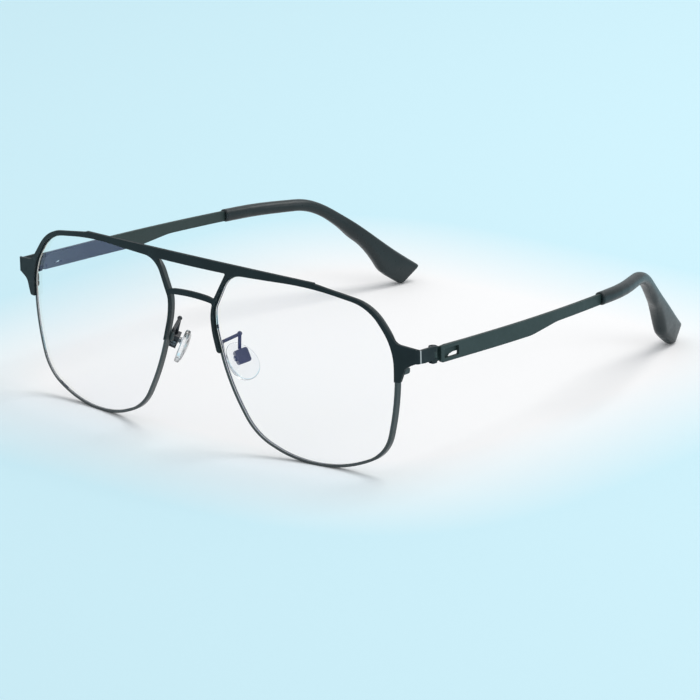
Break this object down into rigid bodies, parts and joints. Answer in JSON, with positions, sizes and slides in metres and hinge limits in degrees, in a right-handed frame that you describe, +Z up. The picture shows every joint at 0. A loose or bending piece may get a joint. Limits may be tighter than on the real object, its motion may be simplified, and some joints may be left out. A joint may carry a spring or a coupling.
{
  "type": "eyeglass frame",
  "caption": "Metal eyeglass frame with a double bridge, folded end pieces, thin lower eyewires, clear lenses, rocking nose pads and folding temples with moulded tips.",
  "frame": {"origin": "on the surface that the frame rests on, under the middle of the whole frame", "axes": "+Y from the front toward the ear ends of the temples, +Z up, +X toward the wearer's left"},
  "size_m": [0.144, 0.1521, 0.052],
  "materials": {
    "front_coating": "matte dark green-black coating",
    "rim_coating": "satin dark coating",
    "temple_coating": "matte dark slate green coating",
    "pad_metal": "satin dark coating",
    "pad_core": "bright metal",
    "screw": "darkened steel",
    "tip": "satin moulded plastic",
    "pad": "clear soft silicone",
    "lens": "clear lens with a faint blue-violet coating"
  },
  "bodies": {
    "front": {"front_plate": "front_coating", "rim_left": "rim_coating", "rim_right": "rim_coating", "lens_left": "lens", "lens_right": "lens", "rim_lock_upper_left": "rim_coating", "rim_lock_upper_right": "rim_coating", "rim_lock_lower_left": "rim_coating", "rim_lock_lower_right": "rim_coating", "rim_screw_left": "screw", "rim_screw_right": "screw", "pad_arm_left": "pad_metal", "pad_arm_right": "pad_metal", "pad_box_left": "pad_metal", "pad_box_right": "pad_metal", "pad_screw_left": "screw", "pad_screw_right": "screw", "hinge_screw_left": "screw", "hinge_screw_right": "screw"},
    "left_temple": {"hinge_leaf_left": "temple_coating", "temple_left": "temple_coating", "temple_tip_left": "tip"},
    "right_temple": {"hinge_leaf_right": "temple_coating", "temple_right": "temple_coating", "temple_tip_right": "tip"},
    "left_pad": {"pad_insert_left": "pad_core", "nose_pad_left": "pad"},
    "right_pad": {"pad_insert_right": "pad_core", "nose_pad_right": "pad"}
  },
  "joints": [
    {"name": "left_hinge", "type": "hinge", "parent": "front", "child": "left_temple", "pos_m": [0.07085, -0.05952, 0.03405], "axis": [0, 0, 1], "range_deg": [0, 80]},
    {"name": "right_hinge", "type": "hinge", "parent": "front", "child": "right_temple", "pos_m": [-0.07085, -0.05952, 0.03405], "axis": [0, 0, -1], "range_deg": [0, 70]},
    {"name": "left_pad_rock", "type": "hinge", "parent": "front", "child": "left_pad", "pos_m": [0.01233, -0.06863, 0.02485], "axis": [0.4455, 0.866, 0.227], "range_deg": [-8, 8]},
    {"name": "right_pad_rock", "type": "hinge", "parent": "front", "child": "right_pad", "pos_m": [-0.01233, -0.06863, 0.02485], "axis": [0.4455, -0.866, -0.227], "range_deg": [-8, 8]}
  ]
}
